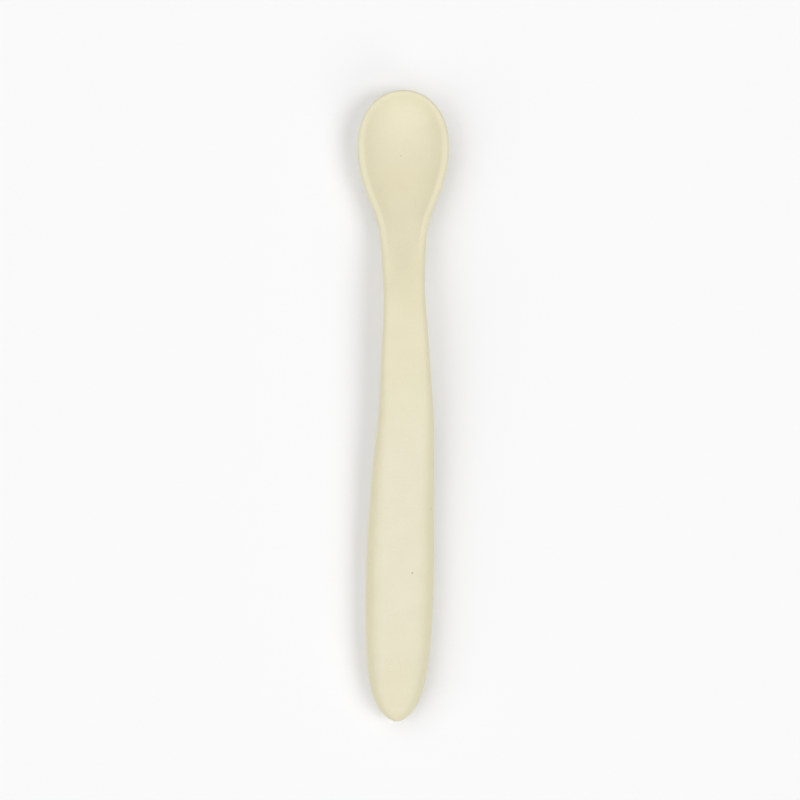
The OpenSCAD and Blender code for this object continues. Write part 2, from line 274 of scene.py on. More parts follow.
    def rounding(self, place, side):
        """Share of the edge's rounding reached at a point: over the edge's width it is the root of 1, less
        the share of that width that is left to a power."""
        left = np.maximum(0, 1 - self.inset(place, side))
        return np.sqrt(1 - left ** self.sizes.edge_power)

    def hollow(self, place, side):
        """Share of the hollow's depth at a point: a power curve that falls to nothing at the lip, where a
        hyperbola eases it."""
        reach = 1 - self.lip(place) * self.steepness(place, side)
        fall = 1 - (self.spread(place, side) / reach) ** self.sizes.hollow_power
        return (fall + np.sqrt(fall * fall + LIP_EASE_SHARE ** 2)) / 2

    def widest_height(self, place):
        """Height of the line where the top meets the underside."""
        return self.crest(place) - self.shoulder(place)

    def top(self, place, side):
        """Height of the top: the widest line, a crown right across, and the edge's rounding, less the
        hollow."""
        crown, spread, shoulder = self.crown(place), self.spread(place, side), self.shoulder(place)
        dip = self.hollow_depth(place) * self.hollow(place, side)
        return (self.widest_height(place) + crown * shoulder * (1 - spread * spread)
                + self.rounding(place, side) * ((1 - crown) * shoulder - dip))

    def underside(self, place, side):
        """Height of the underside: a full curve from the widest line down to the keel, eased flat where it
        would pass the table."""
        spread = self.spread(place, side)
        depth = (1 - spread * spread) ** self.fullness(place)
        height = between(self.widest_height(place), self.keel(place), depth)
        return (height + np.hypot(height, self.sizes.rest_ease)) / 2

    def at(self, points):
        """Place and side of points, from their x and y."""
        place = np.clip(points[..., 1] + self.length / 2, 0, self.length)
        aside = points[..., 0] - self.sway(place)
        return place, np.clip(aside / np.maximum(self.outline(place), LEAST), -1, 1)

    def on_top(self, points):
        """Height of the top over points given as x and y."""
        return self.top(*self.at(points))

    def on_underside(self, points):
        """Height of the underside under points given as x and y."""
        return self.underside(*self.at(points))

    def beside(self, place, side):
        """How near the outline a point is: 1 at the outline, and 0 well in from it."""
        return 1 - eased_step(self.inset(place, side), *EDGE_FADE)

    def beyond(self, place):
        """How far past the neck a place is: 0 at the neck, and 1 where the hollow shows."""
        return eased_step(place, self.neck_place, self.sizes.hollow_start)

    def warmth(self, points):
        """How far the colour warms at points: as painted warm shade along the outline, over the bowl's lip,
        and along the middle where the silicone is thinner, which over the bowl is painted shade as well."""
        place, side = self.at(points)
        lip = LIP_WARMTH * self.beyond(place) * (1 - self.hollow(place, side))
        return np.maximum.reduce([self.beside(place, side), self.thin(place), lip])

    def dimness(self, points):
        """How far painted shade darkens the colour at points: towards the outline, at the handle's tip and
        in the hollow.
        """
        place, side = self.at(points)
        edge = self.beside(place, side) * self.edge_painted_shade(place)
        # Painted shade darkening the handle's tip
        tip = np.where(place < self.belly_place, self.thin(place), 0)
        hollow = HOLLOW_PAINTED_SHADE * self.beyond(place) * self.hollow(place, side) ** 2
        return np.maximum.reduce([edge, tip, hollow])

    def points(self, place, aside, height):
        """Points at places along the centre line, distances to its side, and heights."""
        x = self.sway(place) + aside
        return np.stack(np.broadcast_arrays(x, place - self.length / 2, height), -1)

    def centre(self, place):
        """The point of the centre line at a place, as x and y."""
        return self.points(place, 0, 0)[:2]

    def body_rings(self):
        """Rings of points round the body. Each goes over the top from right to left and back underneath,
        at the cosine of its angle across the outline, and the rings draw together towards both tips."""
        count = self.sizes.ring_points
        quarter = np.linspace(0, np.pi / 2, self.sizes.end_rings + 1)[:-1]
        place = np.concatenate([
            self.belly_place - self.sizes.handle_end * np.sin(quarter[:0:-1]),
            np.linspace(self.belly_place, self.neck_place, self.sizes.handle_rings, endpoint=False),
            np.linspace(self.neck_place, self.bowl_place, self.sizes.neck_rings, endpoint=False),
            self.bowl_place + self.sizes.bowl_nose * np.sin(quarter)])[:, None]
        column = np.arange(count)[None, :]
        side = np.cos(2 * np.pi * column / count)
        height = np.where(column < count / 2, self.top(place, side), self.underside(place, side))
        height = np.where(column % (count // 2) == 0, self.widest_height(place), height)
        return self.points(place, self.outline(place) * side, height)

    def tips(self):
        """The points at both tips of the spoon."""
        ends = np.array([0, self.length])
        return self.points(ends, 0, self.widest_height(ends))


class CoreShape:
    """The stiff core inside the silicone: an arched bar with round ends, as functions of place and angle."""

    def __init__(self, spoon):
        self.spoon, sizes = spoon, spoon.sizes
        self.sizes = sizes
        self.start, self.end = sizes.core_start, spoon.bowl_place - sizes.core_setback
        self.pitch = (self.end - self.start - 2 * sizes.window_margin) / sizes.window_count
        first = self.start + sizes.window_margin
        self.window_places = first + (np.arange(sizes.window_count) + 0.5) * self.pitch
        # One pin held the core in a gap a third of the way along the windows, and the other in the last gap
        self.pin_places = first + np.array([sizes.window_count // 3, sizes.window_count - 1]) * self.pitch

    def plain_half_width(self, place):
        """Half the width, without the round ends: the handle's, less the silicone beside it."""
        return self.spoon.half_width(place) - self.sizes.side_cover

    def end_share(self, place):
        """How far into a round end a place is: 0 where the end begins, and 1 at its tip."""
        near = np.minimum(place - self.start, self.end - place)
        return np.clip(1 - near / self.plain_half_width(place), 0, 1)

    def half_width(self, place):
        """Half the width, with ends that are half circles."""
        return self.plain_half_width(place) * np.sqrt(1 - self.end_share(place) ** 2)

    def middle_height(self, place):
        """Height halfway between the top of the silicone and its keel."""
        return (self.spoon.top(place, 0) + self.spoon.keel(place)) / 2

    def half_height(self, place):
        """Half the thickness: half the silicone's, less its cover, and rounded off at the ends."""
        along = (place - self.spoon.belly_place) / (self.spoon.neck_place - self.spoon.belly_place)
        cover = between(self.sizes.handle_cover, self.sizes.neck_cover, np.clip(along, 0, 1))
        power = self.sizes.core_end_power
        plain = (self.spoon.top(place, 0) - self.spoon.keel(place)) / 2 - cover
        return plain * (1 - self.end_share(place) ** power) ** (1 / power)

    def height(self, points, face):
        """Height of the top face, 1, or the underside, -1, at points given as x and y: a superellipse."""
        place = points[..., 1] + self.spoon.length / 2
        across = np.abs(points[..., 0] - self.spoon.sway(place)) / self.half_width(place)
        power = self.sizes.core_power
        arch = np.maximum(0, 1 - across ** power) ** (1 / power)
        return self.middle_height(place) + face * self.half_height(place) * arch

    def window_size(self, place):
        """Width of a window, and the straight run between its round ends."""
        width = 2 * float(self.half_width(place)) * WINDOW_WIDTH_SHARE
        return width, self.pitch * WINDOW_LENGTH_SHARE - width

    def rings(self):
        """Rings of points round the core, each a superellipse, with whole numbers of rings along each
        window and each gap. Returns the points, and the ring where each window begins and ends."""
        sizes = self.sizes
        reach = self.pitch * WINDOW_LENGTH_SHARE / 2 + 2 * sizes.window_rounding
        starts, ends = self.window_places - reach, self.window_places + reach
        quarter = np.linspace(0, np.pi / 2, sizes.core_end_rings + 1)[:-1]
        first = starts[0] - (starts[0] - self.start) * np.sin(quarter[:0:-1])
        last = ends[-1] + (self.end - ends[-1]) * np.sin(quarter)
        windows = [np.linspace(a, b, sizes.window_rings, endpoint=False) for a, b in zip(starts, ends)]
        gaps = [np.linspace(a, b, sizes.gap_rings, endpoint=False) for a, b in zip(ends[:-1], starts[1:])]
        stretches = [part for pair in zip(windows, gaps + [last]) for part in pair]
        place = np.concatenate([first] + stretches)[:, None]
        angle = 2 * np.pi * np.arange(sizes.core_ring_points)[None, :] / sizes.core_ring_points
        across = np.sign(np.cos(angle)) * np.abs(np.cos(angle)) ** (2 / sizes.core_power)
        up = np.sign(np.sin(angle)) * np.abs(np.sin(angle)) ** (2 / sizes.core_power)
        height = self.middle_height(place) + self.half_height(place) * up
        points = self.spoon.points(place, self.half_width(place) * across, height)
        rows = len(first) + np.arange(sizes.window_count) * (sizes.window_rings + sizes.gap_rings)
        return points, np.stack([rows, rows + sizes.window_rings], -1)

    def tips(self):
        """The points at both tips of the core."""
        ends = np.array([self.start, self.end])
        return self.spoon.points(ends, 0, self.middle_height(ends))


class Skin:
    """Points and faces that are gathered part by part, and then made one mesh."""

    def __init__(self):
        self.points, self.faces, self.count = [], [], 0
        self.inside_out = False

    def add(self, points):
        """Adds points, and returns their numbers in the same layout."""
        numbers = self.count + np.arange(points[..., 0].size).reshape(points.shape[:-1])
        self.points.append(points.reshape(-1, 3))
        self.count += numbers.size
        return numbers

    def at(self, numbers):
        """The points that have these numbers."""
        return np.concatenate(self.points)[numbers]

    def face(self, *corners):
        """Adds a face for each entry in the corners' arrays of point numbers, turning left from outside."""
        corners = np.stack(np.broadcast_arrays(*corners), -1).reshape(-1, len(corners))
        self.faces.append(corners[:, ::-1] if self.inside_out else corners)

    def band(self, outer, inner):
        """Faces between two closed loops of points, the second inside or beyond the first."""
        self.face(outer, np.roll(outer, -1), np.roll(inner, -1), inner)

    def zipped_band(self, outer, inner, centre):
        """Triangles between two loops round a centre that have different numbers of points. Each side of
        one loop joins the point of the other that it faces, by the angle the loops have turned through."""
        turns = []
        for loop in (outer, inner):
            away = self.at(loop)[:, :2] - centre
            turn = np.unwrap(np.arctan2(away[:, 1], away[:, 0]))
            way = np.sign(turn[-1] - turn[0])
            turns.append(way * turn + np.append(np.diff(turn) * way, 0) / 2)
        lag = np.round((turns[1][0] - turns[0][0]) / (2 * np.pi)) * 2 * np.pi
        faced = np.searchsorted(turns[1] - lag, turns[0]) % len(inner)
        met = np.searchsorted(turns[0], turns[1] - lag, side="right") % len(outer)
        self.face(outer, np.roll(outer, -1), inner[faced])
        self.face(outer[met], np.roll(inner, -1), inner)

    def tube(self, rings, tips, blocks):
        """Faces between rings of points and out to two tips, leaving blocks of the grid open."""
        grid = self.add(rings)
        row, column = np.indices(grid.shape)
        keep = row < len(grid) - 1
        for top, bottom, left, right in blocks:
            keep &= (row < top) | (row >= bottom) | (column < left) | (column >= right)
        over, beyond = np.roll(grid, -1, 1), np.roll(grid, -1, 0)
        self.face(grid[keep], beyond[keep], np.roll(over, -1, 0)[keep], over[keep])
        start, end = self.add(tips)
        self.face(start, grid[0], over[0])
        self.face(end, over[-1], grid[-1])
        return grid

    def opening(self, grid, block, centre, run, width, rounding, height):
        """Fills a block of the grid in to the edge of a slot, and returns the loop at the top of its wall.

        The first loops lie at even shares of the way from the block's border to the slot, at the height of
        the surface. The next follow a quarter circle in and down. height(points) is the surface, and the
        rounding is negative on a top face, where down is towards lower heights.
        """
        top, bottom, left, right = block
        loop = np.concatenate([grid[top:bottom, left], grid[bottom, left:right],
                               grid[bottom:top:-1, right], grid[top, right:left:-1]])
        border = self.at(loop)[:, :2]
        near = slot_edge(border, centre, run, width + 2 * abs(rounding))
        for share in OPENING_SHARES:
            flat = between(border, near, share)
            loop = self.next_loop(loop, flat, height(flat))
        for turn in np.radians(ROUNDING_TURNS if rounding else ()):
            flat = slot_edge(border, centre, run, width + 2 * abs(rounding) * (1 - np.sin(turn)))
            loop = self.next_loop(loop, flat, height(flat) + rounding * (1 - np.cos(turn)))
        return loop

    def next_loop(self, loop, flat, height):
        """Adds a loop of points at heights over x and y, and the band of faces to it."""
        after = self.add(np.column_stack([flat, np.broadcast_to(height, len(flat))]))
        self.band(loop, after)
        return after

    def piece(self, name, looks=()):
        """The mesh object, without the points that no face uses. Looks are pairs of a name and a function
        of the points, whose values the material reads by that name."""
        loops = np.concatenate([part.ravel() for part in self.faces])
        sides = np.concatenate([np.full(len(part), part.shape[1]) for part in self.faces])
        used, loops = np.unique(loops, return_inverse=True)
        mesh = bpy.data.meshes.new(name)
        mesh.vertices.add(len(used))
        mesh.vertices.foreach_set("co", self.at(used).astype(np.float32).ravel())
        mesh.loops.add(len(loops))
        mesh.loops.foreach_set("vertex_index", loops.astype(np.int32))
        mesh.polygons.add(len(sides))
        mesh.polygons.foreach_set("loop_start", (np.cumsum(sides) - sides).astype(np.int32))
        mesh.update(calc_edges=True)
        mesh.shade_smooth()
        mesh.set_sharp_from_angle(angle=np.radians(CRISP_ANGLE))
        for look, value_at in looks:
            values = mesh.attributes.new(look, "FLOAT", "POINT").data
            values.foreach_set("value", value_at(self.at(used)).astype(np.float32))
        piece = bpy.data.objects.new(name, mesh)
        bpy.context.scene.collection.objects.link(piece)
        return piece


def slot_edge(points, centre, run, width):
    """The nearest point on the edge of a slot with round ends: the foot of each point on the slot's middle
    line, and from there half the width towards the point. A slot with no run is a circle."""
    away = points - centre
    foot = np.column_stack([np.zeros(len(points)), np.clip(away[:, 1], -run / 2, run / 2)])
    away = away - foot
    return centre + foot + away * (width / 2 / np.linalg.norm(away, axis=1))[:, None]


def columns_within(share, power, count):
    """How many columns each side of the middle reach a share of the half width, where a ring has so many
    points and they lie at the cosine of their angle, to the power of 2 over the section's power."""
    return int(np.ceil(np.arcsin(share ** (power / 2)) * count / (2 * np.pi)))


def pin_blocks(places, pin_places, reach, half_width_at, power, count):
    """The block of a grid that holds each pin hole: rings just past its reach, and columns each side of the
    middle underneath."""
    middle = 3 * count // 4
    halves = [columns_within(PIN_BLOCK_SHARE * reach / half_width_at(place), power, count)
              for place in pin_places]
    return [(np.searchsorted(places, place - reach) - 1, np.searchsorted(places, place + reach),
             middle - half, middle + half) for place, half in zip(pin_places, halves)]


def wrap_core(skin, core):
    """Adds the core's surface with its windows to a skin. Returns the loop round each pin hole."""
    sizes, count = core.sizes, core.sizes.core_ring_points
    rings, rows = core.rings()
    places = rings[:, 0, 1] + core.spoon.length / 2
    windows = []
    for place, (first, last) in zip(core.window_places, rows):
        width, run = core.window_size(place)
        reach = (width / 2 + 2 * sizes.window_rounding) / core.half_width(place)
        half = columns_within(reach, sizes.core_power, count)
        windows.append((place, width, run, [(first, last, middle - half, middle + half)
                                            for middle in (count // 4, 3 * count // 4)]))
    pins = pin_blocks(places, core.pin_places, sizes.locator_width / 2 + sizes.locator_rounding,
                      core.half_width, sizes.core_power, count)
    blocks = [block for window in windows for block in window[3]]
    grid = skin.tube(rings, core.tips(), blocks + pins)
    for place, width, run, (above, below) in windows:
        upper, lower = [skin.opening(grid, block, core.spoon.centre(place), run, width,
                                     -face * sizes.window_rounding, lambda points: core.height(points, face))
                        for block, face in ((above, 1), (below, -1))]
        # Both loops start at a corner of their block and turn opposite ways, so one is read backwards
        far_corner = 2 * (above[1] - above[0]) + above[3] - above[2]
        skin.band(upper, lower[(far_corner - np.arange(len(lower))) % len(lower)])
    return [skin.opening(grid, block, core.spoon.centre(place), 0, sizes.locator_width, 0,
                         lambda points: core.height(points, -1))
            for place, block in zip(core.pin_places, pins)]


def build_core(sizes):
    """The core: its surface, and a flat-bottomed seat inside each pin hole."""
    core, skin = CoreShape(SpoonShape(sizes)), Skin()
    for place, loop in zip(core.pin_places, wrap_core(skin, core)):
        floor = core.middle_height(place) - core.half_height(place) + sizes.locator_seat
        loop = skin.next_loop(loop, skin.at(loop)[:, :2], floor)
        centre = skin.add(core.spoon.points(place, 0, floor))
        skin.face(loop, np.roll(loop, -1), centre)
    return skin.piece("moulded_stiffening_core")


def build_body(sizes):
    """The silicone body: its outside, the space for the core inside it, and the walls of the pin holes."""
    spoon, skin = SpoonShape(sizes), Skin()
    core, rings = CoreShape(spoon), spoon.body_rings()
    places = rings[:, 0, 1] + spoon.length / 2
    reach = sizes.locator_width / 2 + 2 * sizes.locator_rounding
    blocks = pin_blocks(places, core.pin_places, reach, spoon.outline, 2, sizes.ring_points)
    grid = skin.tube(rings, spoon.tips(), blocks)
    holes = [skin.opening(grid, block, spoon.centre(place), 0, sizes.locator_width, sizes.locator_rounding,
                          spoon.on_underside) for place, block in zip(core.pin_places, blocks)]
    skin.inside_out = True
    inner_loops = wrap_core(skin, core)
    skin.inside_out = False
    for place, outer, inner in zip(core.pin_places, holes, inner_loops):
        skin.zipped_band(outer, inner, spoon.centre(place))
    # The silicone's two looks: its warming, partly painted warm shade, and its painted shade
    return skin.piece("soft_silicone_body", (("Warmth", spoon.warmth), ("Dimness", spoon.dimness)))


class NodeTree:
    """A node tree that is being written: nodes by kind, and their inputs by name."""

    def __init__(self, tree):
        self.tree, self.column = tree, 0

    def node(self, kind, settings=None, **inputs):
        """Adds a node. Each input takes a value, or the output socket that feeds it."""
        node = self.tree.nodes.new(kind)
        self.column += 1
        right, down, rows = NODE_STEPS
        node.location = (right * self.column, down * (self.column % rows))
        for name, value in (settings or {}).items():
            setattr(node, name, value)
        for name, value in inputs.items():
            self.feed(node, name.replace("_", " "), value)
        return node

    def fill(self, sockets, values):
        """Sets each socket to its value, or links the socket that feeds it."""
        for socket, value in zip(sockets, values):
            if isinstance(value, bpy.types.NodeSocket):
                self.tree.links.new(value, socket)
            else:
                socket.default_value = value

    def feed(self, node, name, value):
        """Fills a node's free input of that name."""
        self.fill((s for s in node.inputs if s.name == name and s.enabled and not s.is_linked), [value])

    def maths(self, operation, first, second=0.0):
        """One sum on two numbers or sockets."""
        node = self.node("ShaderNodeMath", {"operation": operation})
        self.fill(node.inputs, (first, second))
        return node.outputs[0]

    def blend(self, share, first, second, way="MIX"):
        """A colour that goes from the first to the second, or to their product, by a share."""
        node = self.node("ShaderNodeMix", {"data_type": "RGBA", "blend_type": way}, Factor=share)
        self.fill([s for s in node.inputs if s.enabled and s.name in "AB"], (first, second))
        return next(s for s in node.outputs if s.enabled)

    def ramp(self, value, limits, to_low=0.0, to_high=1.0):
        """The value's place between two limits, eased at both, as a value between two others."""
        low, high = limits
        return self.node("ShaderNodeMapRange", {"interpolation_type": "SMOOTHSTEP"}, Value=value,
                         From_Min=low, From_Max=high, To_Min=to_low, To_Max=to_high).outputs[0]

    def noise(self, vector, scale, size, detail, roughness=0.5):
        """Noise over a vector, its scale a number over a size."""
        return self.node("ShaderNodeTexNoise", Vector=vector, Detail=detail, Roughness=roughness,
                         Scale=self.maths("DIVIDE", scale, size)).outputs[0]


def shader_group(name, inputs, outputs):
    """A new shader node group with these sockets, its tree to write in, and its two end nodes."""
    group = bpy.data.node_groups.new(name, "ShaderNodeTree")
    for way, sockets in (("INPUT", inputs), ("OUTPUT", outputs)):
        for socket, kind in sockets.items():
            group.interface.new_socket(socket, in_out=way, socket_type="NodeSocket" + kind)
    tree = NodeTree(group)
    return group, tree, tree.node("NodeGroupInput").outputs, tree.node("NodeGroupOutput")


def moulded_surface_group():
    """The look of a moulded surface: a colour mottled by fine grain and by broad faint patches, a roughness
    that follows the grain, and the height of the grain that the mould's blasted face leaves."""
    group, tree, given, end = shader_group(
        "Moulded Surface",
        {"Vector": "Vector", "Colour": "Color", "Deep Colour": "Color", "Grain Size": "Float",
         "Patch Size": "Float", "Mottle": "Float", "Roughness": "Float"},
        {"Colour": "Color", "Roughness": "Float", "Height": "Float"})
    grain = tree.noise(given["Vector"], 1.0, given["Grain Size"], detail=2.0, roughness=0.6)
    pits = tree.noise(given["Vector"], PIT_SCALE, given["Grain Size"], detail=1.0)
    patches = tree.noise(given["Vector"], 1.0, given["Patch Size"], detail=2.0)
    speckle = tree.maths("MULTIPLY", tree.ramp(grain, GRAIN_LIMITS), GRAIN_MOTTLE)
    cloud = tree.maths("MULTIPLY", tree.ramp(patches, PATCH_LIMITS), PATCH_MOTTLE)
    share = tree.maths("MULTIPLY", tree.maths("ADD", speckle, cloud), given["Mottle"])
    swing = tree.ramp(grain, GRAIN_LIMITS, -ROUGHNESS_SWING, ROUGHNESS_SWING)
    tree.feed(end, "Colour", tree.blend(share, given["Colour"], given["Deep Colour"]))
    tree.feed(end, "Roughness", tree.maths("ADD", given["Roughness"], swing))
    tree.feed(end, "Height", tree.maths("ADD", tree.maths("MULTIPLY", grain, GRAIN_HEIGHT),
                                        tree.maths("MULTIPLY", pits, PIT_HEIGHT)))
    return group


def speck_group():
    """One tiny speck: 1 within its size of its place and 0 outside, its edge made uneven by fine noise."""
    group, tree, given, end = shader_group(
        "Speck", {"Vector": "Vector", "Place": "Vector", "Size": "Float", "Strength": "Float"},
        {"Mask": "Float"})
    away = tree.node("ShaderNodeVectorMath", {"operation": "DISTANCE"})
    tree.fill(away.inputs, (given["Vector"], given["Place"]))
    uneven = tree.noise(given["Vector"], 1.0, given["Size"], detail=1.0)
    reach = tree.maths("MULTIPLY", given["Size"], tree.ramp(uneven, GRAIN_LIMITS, *SPECK_REACH))
    near = tree.ramp(tree.maths("DIVIDE", away.outputs["Value"], reach), (SPECK_FADE, 1.0), 1.0, 0.0)
    tree.feed(end, "Mask", tree.maths("MULTIPLY", near, given["Strength"]))
    return group


def moulded_material(name, colour, deep_colour, roughness, finish, specks=()):
    """A moulded material: a Principled surface fed by the Moulded Surface group. With specks it is the
    silicone's, and takes the piece's warming, partly painted warm shade, and its painted shade too."""
    material = bpy.data.materials.new(name)
    material.use_nodes = True
    tree = NodeTree(material.node_tree)
    principled = material.node_tree.nodes["Principled BSDF"]
    vector = tree.node("ShaderNodeTexCoord").outputs["Object"]
    group = bpy.data.node_groups.get("Moulded Surface") or moulded_surface_group()
    look = tree.node("ShaderNodeGroup", {"node_tree": group}, Vector=vector, Colour=(*colour, 1),
                     Deep_Colour=(*deep_colour, 1), Grain_Size=finish.grain_size, Mottle=finish.mottle,
                     Patch_Size=finish.patch_size, Roughness=roughness).outputs
    shown = look["Colour"]
    if specks:
        # Painted shade: these tints warm and darken the colour by the piece's two looks
        for change, tint in (("Warmth", finish.warm_and_shade_tint), ("Dimness", finish.painted_shade_tint)):
            amount = tree.node("ShaderNodeAttribute", {"attribute_name": change}).outputs["Fac"]
            shown = tree.blend(amount, shown, (*tint, 1), "MULTIPLY")
        speck = speck_group()
        for place, size, strength in specks:
            mask = tree.node("ShaderNodeGroup", {"node_tree": speck}, Vector=vector, Place=tuple(place),
                             Size=size, Strength=strength).outputs["Mask"]
            shown = tree.blend(mask, shown, (*finish.speck_colour, 1))
    bump = tree.node("ShaderNodeBump", Height=look["Height"], Strength=1.0, Distance=finish.grain_depth)
    tree.feed(principled, "Base Color", shown)
    tree.feed(principled, "Roughness", look["Roughness"])
    tree.feed(principled, "Normal", bump.outputs["Normal"])
    principled.inputs["Specular IOR Level"].default_value = finish.gloss
    return material


def distance(description, default):
    """A length that the user can change."""
    return bpy.props.FloatProperty(description=description, default=default, min=0, precision=5,
                                   unit="LENGTH", subtype="DISTANCE")


def number(description, default, least=0, **more):
    """A plain number that the user can change."""
    return bpy.props.FloatProperty(description=description, default=default, min=least, precision=3, **more)


def whole(description, default, least):
    """A whole number that the user can change."""
    return bpy.props.IntProperty(description=description, default=default, min=least)


def shade(description, default):
    """A colour that the user can change."""
    return bpy.props.FloatVectorProperty(description=description, default=default, size=3, min=0, max=1,
                                         subtype="COLOR")


class SpoonSizes(bpy.types.PropertyGroup):
    """Sizes of the silicone body and the core."""

    spoon_length: distance("From the handle's end to the nose", body_high.y - body_low.y)
    rest_flat: distance("Depth of the flats that it rests on", 0.0002)
    rest_ease: distance("How gently the underside runs out into those flats", 0.00005)
    bowl_width: distance("Width at the widest place of the bowl", body_high.x - body_low.x)
    bowl_nose: distance("From the nose back to the widest place", 0.0154)
    bowl_depth: distance("Depth of the hollow under the lip", 0.006)
    bowl_floor: distance("Thickness under the deepest of the hollow", 0.002)
    lip_width: distance("Width of the rounded lip beside the hollow", 0.0019)
    nose_lip_width: distance("Width of the lip at the nose", 0.0011)
    lip_height: distance("Height of the lip's rounding", 0.0013)
    nose_drop: distance("How much lower the lip is at the nose", 0.0004)
    neck_width: distance("Width at the narrowest place of the neck", 0.0111)
    neck_thickness: distance("Thickness of the neck", 0.0052)
    neck_rise: distance("Height of the neck's underside above the table", 0.0063)
    neck_to_bowl: distance("From the neck's narrowest place to the bowl's widest", 0.0386)
    neck_edge: distance("Width of the rounding along the neck's edges", 0.0016)
    handle_width: distance("Width at the widest place of the handle", 0.0182)
    handle_height: distance("Height of the handle's top above the table", 0.01)
    handle_edge: distance("Width of the rounding along the handle's edges", 0.0056)
    handle_end: distance("From the handle's end to its widest place", 0.041)
    handle_rest: distance("From the handle's end to where it touches the table", 0.024)
    side_sway: distance("How far the handle's end lies to the side", 0.00175)
    handle_cover: distance("Silicone above and below the core in the handle", 0.0024)
    neck_cover: distance("Silicone above and below the core in the neck", 0.0011)
    side_cover: distance("Silicone beside the core", 0.0024)
    hollow_start: distance("From the handle's end to where the hollow shows", 0.125)
    core_start: distance("From the handle's end to the core", 0.012)
    core_setback: distance("From the core's tip to the bowl's widest place", 0.027)
    window_margin: distance("From each end of the core to the nearest window", 0.008)
    window_rounding: distance("Rounding of the windows' edges", 0.0003)
    locator_width: distance("Diameter of the holes left by the mould's pins", 0.0022)
    locator_seat: distance("Depth of the pins' seats in the core", 0.0008)
    locator_rounding: distance("Rounding of the holes' edges underneath", 0.00018)
    handle_side_power: number("The handle's sides: 2 is an ellipse, and more is squarer", 2.85, 1.5)
    handle_tip_power: number("The same at the handle's very tip", 2.1, 1.5)
    handle_tip_sharpness: number("How near the tip that begins", 9, 1)
    nose_power: number("Roundness of the bowl's nose", 2.1, 1.5)
    edge_power: number("Roundness of the edges: 2 is a quarter circle, and more is gentler", 2.5, 2)
    hollow_power: number("Roundness of the hollow: 2 is a parabola, and more is flatter", 2.1, 1.5)
    handle_fullness: number("Curve underneath: 0.5 is an ellipse, 1 a parabola", 0.5, 0.3, max=1)
    bowl_fullness: number("The same under the bowl", 0.7, 0.3, max=1)
    core_power: number("Roundness of the core's section", 3, 1.5)
    core_end_power: number("Roundness of the core's ends from the side", 5, 1.5)
    window_count: whole("Number of windows in the core", 6, 3)
    ring_points: whole("Points round the body, a multiple of 4", 192, 24)
    end_rings: whole("Rings along each rounded end", 60, 8)
    handle_rings: whole("Rings from the handle's belly to the neck", 110, 8)
    neck_rings: whole("Rings from the neck to the bowl", 84, 8)
    core_ring_points: whole("Points round the core, a multiple of 4", 96, 24)
    core_end_rings: whole("Rings from the core's tip to its nearest window", 28, 4)
    window_rings: whole("Rings along each window", 22, 4)
    gap_rings: whole("Rings between two windows", 10, 8)


class SpoonFinish(bpy.types.PropertyGroup):
    """Colours and surfaces of the silicone and the core, with the tints of the silicone's painted shade."""

    silicone: shade("Colour of the silicone", (0.83, 0.785, 0.61))
    silicone_deep: shade("Colour that its mottling runs to", (0.764, 0.714, 0.541))
    # The first tint warms the colour where the silicone is thinner, and as painted warm shade along the
    # outline and over the bowl
    warm_and_shade_tint: shade("Multiplies the colour where the silicone is thin", (0.99, 0.98, 0.885))
    # The next tint darkens the colour as painted shade towards the outline, at the handle's tip and in the
    # hollow
    painted_shade_tint: shade("Multiplies it towards the outline and in the hollow", (0.96, 0.955, 0.955))
    speck_colour: shade("Colour of the few tiny specks", (0.2, 0.17, 0.11))
    core: shade("Colour of the core's plastic", (0.72, 0.70, 0.65))
    core_deep: shade("Colour that its mottling runs to", (0.66, 0.64, 0.585))
    grain_size: distance("Size of the surface's fine grain", 0.0003)
    patch_size: distance("Size of its faint broad patches", 0.006)
    grain_depth: distance("Depth of the grain", 0.00002)
    mottle: number("Strength of the mottling", 0.6, max=1)
    silicone_roughness: number("0 is glossy, and 1 is chalky", 0.74, max=1)
    core_roughness: number("The same for the core", 0.55, max=1)
    gloss: number("Strength of the surface's plain reflection", 0.2, max=1)


class StudioSettings(bpy.types.PropertyGroup):
    """The camera over the spoon and the soft light round it."""

    camera_height: distance("Height of the camera over the table", 1.2)
    view_width: distance("Width of the table that the view takes in", 0.2164)
    camera_x: number("Sideways place of the camera", -0.0009, -1, unit="LENGTH")
    camera_y: number("Place of the camera along the spoon", 0.0016, -1, unit="LENGTH")
    floor_width: distance("Width of the white floor", 12.0)
    floor_colour: shade("Colour of the floor", (0.955, 0.955, 0.962))
    bounce_colour: shade("Colour of the floor for the light that it throws back", (0.88, 0.9, 0.975))
    dome: number("Strength of the even light from all round", 0.338)
    left_softbox: number("Strength of the softbox on the left", 0.798)
    right_softbox: number("Strength of the softbox on the right", 0.945)
    front_softbox: number("Strength of the softbox at the handle's end", 0.44)
    top_softbox: number("Strength of the broad softbox above", 0.715)


class SPOON_OT_body(bpy.types.Operator):
    """Build the silicone body with its bowl, lip, neck and handle"""

    bl_idname = "spoon.body"
    bl_label = "Silicone Body"

    def execute(self, context):
        sizes, finish = context.scene.spoon_sizes, context.scene.spoon_finish
        spoon, body = SpoonShape(sizes), build_body(sizes)
        specks = [(np.append(flat, spoon.on_top(np.array(flat))), size, strength)
                  for flat, size, strength in SPECKS]
        body.data.materials.append(moulded_material(
            "Matte silicone", finish.silicone, finish.silicone_deep, finish.silicone_roughness, finish,
            specks))
        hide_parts("silicone_body")
        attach(body, "root")
        return {"FINISHED"}


class SPOON_OT_core(bpy.types.Operator):
    """Build the stiff core with its windows and pin seats"""

    bl_idname = "spoon.core"
    bl_label = "Stiffening Core"

    def execute(self, context):
        finish = context.scene.spoon_finish
        core = build_core(context.scene.spoon_sizes)
        core.data.materials.append(moulded_material(
            "Core plastic", finish.core, finish.core_deep, finish.core_roughness, finish))
        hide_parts("stiffening_core")
        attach(core, "root")
        return {"FINISHED"}


